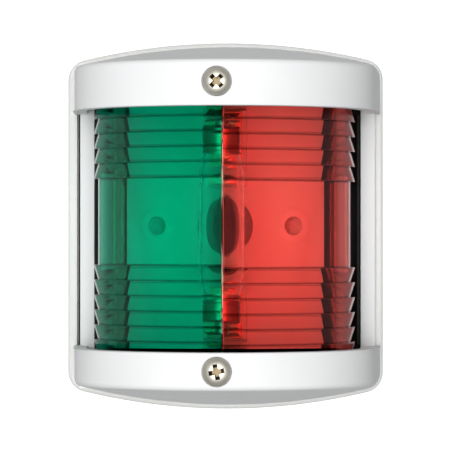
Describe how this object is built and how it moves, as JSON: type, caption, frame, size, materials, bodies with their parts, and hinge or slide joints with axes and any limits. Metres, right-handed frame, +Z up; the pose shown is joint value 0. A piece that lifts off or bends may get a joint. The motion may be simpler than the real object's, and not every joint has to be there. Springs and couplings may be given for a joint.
{
  "type": "navigation light",
  "caption": "Compact bow navigation light: arched white base and front cover around a half-round green and red prism lens, with a festoon bulb between spring contacts.",
  "frame": {"origin": "centre of the bulkhead plane that the rear gasket seals against, on the axis of the cable hole", "axes": "+Z up; +Y into the bulkhead, so the lamp shines towards -Y; +X to the right of someone facing the lamp, on the red side"},
  "size_m": [0.07, 0.0519, 0.0812],
  "materials": {
    "white_base": "satin moulded white",
    "white_cover": "satin moulded white",
    "black_rubber": "matt",
    "grey_rubber": "matt",
    "grey_foam": "closed-cell foam",
    "green_lens": "clear polished, tinted green",
    "red_lens": "clear polished, tinted red",
    "bulb_glass": "clear",
    "tungsten": "dark wire",
    "nickel_cap": "nickel plated",
    "stainless_screw": "bright stainless",
    "brass_insert": "turned",
    "brass_contact": "rolled strip"
  },
  "bodies": {
    "base": {"rear_gasket": "grey_foam", "base_housing": "white_base", "cable_grommet": "grey_rubber", "lens_gasket": "black_rubber", "threaded_insert_top": "brass_insert", "threaded_insert_bottom": "brass_insert", "terminal_plate_top": "brass_contact", "terminal_plate_bottom": "brass_contact", "contact_rivet_top": "brass_insert", "contact_rivet_bottom": "brass_insert", "terminal_clamp_top": "nickel_cap", "terminal_clamp_bottom": "nickel_cap"},
    "cover": {"front_cover": "white_cover", "screw_retainer_top": "black_rubber", "screw_retainer_bottom": "black_rubber"},
    "screw_top": {"cover_screw_top": "stainless_screw"},
    "screw_bottom": {"cover_screw_bottom": "stainless_screw"},
    "lens": {"lens_green": "green_lens", "lens_red": "red_lens"},
    "bulb": {"bulb_glass": "bulb_glass", "bulb_cap_top": "nickel_cap", "bulb_cap_bottom": "nickel_cap", "bulb_filament": "tungsten"},
    "contact_top": {"contact_spring_top": "brass_contact"},
    "contact_bottom": {"contact_spring_bottom": "brass_contact"},
    "terminal_top": {"terminal_screw_top": "nickel_cap"},
    "terminal_bottom": {"terminal_screw_bottom": "nickel_cap"}
  },
  "joints": [
    {"name": "cover_lift_off", "type": "slide", "parent": "base", "child": "cover", "axis": [0, -1, 0], "range_m": [0, 0.09]},
    {"name": "lens_lift_off", "type": "slide", "parent": "base", "child": "lens", "axis": [0, -1, 0], "range_m": [0, 0.045]},
    {"name": "bulb_pull_out", "type": "slide", "parent": "base", "child": "bulb", "axis": [0, -1, 0], "range_m": [0, 0.0225]},
    {"name": "cover_screw_top_turn", "type": "hinge", "parent": "cover", "child": "screw_top", "pos_m": [0.0007, -0.05, 0.0298], "axis": [0, -1, 0], "continuous": true},
    {"name": "cover_screw_bottom_turn", "type": "hinge", "parent": "cover", "child": "screw_bottom", "pos_m": [0.0007, -0.05, -0.0305], "axis": [0, -1, 0], "continuous": true},
    {"name": "contact_top_flex", "type": "hinge", "parent": "base", "child": "contact_top", "pos_m": [0, -0.00725, 0.01995], "axis": [-1, 0, 0], "range_deg": [0, 8], "stiffness_Nm_per_rad": 0.05},
    {"name": "contact_bottom_flex", "type": "hinge", "parent": "base", "child": "contact_bottom", "pos_m": [0, -0.00725, -0.01995], "axis": [1, 0, 0], "range_deg": [0, 8], "stiffness_Nm_per_rad": 0.05},
    {"name": "terminal_screw_top_turn", "type": "hinge", "parent": "base", "child": "terminal_top", "pos_m": [0, -0.009, 0.0122], "axis": [0, -1, 0], "continuous": true},
    {"name": "terminal_screw_bottom_turn", "type": "hinge", "parent": "base", "child": "terminal_bottom", "pos_m": [0, -0.009, -0.0122], "axis": [0, -1, 0], "continuous": true}
  ],
  "couplings": [
    {"joint": "lens_lift_off", "follows": "cover_lift_off", "ratio": 0.5},
    {"joint": "bulb_pull_out", "follows": "cover_lift_off", "ratio": 0.25}
  ]
}
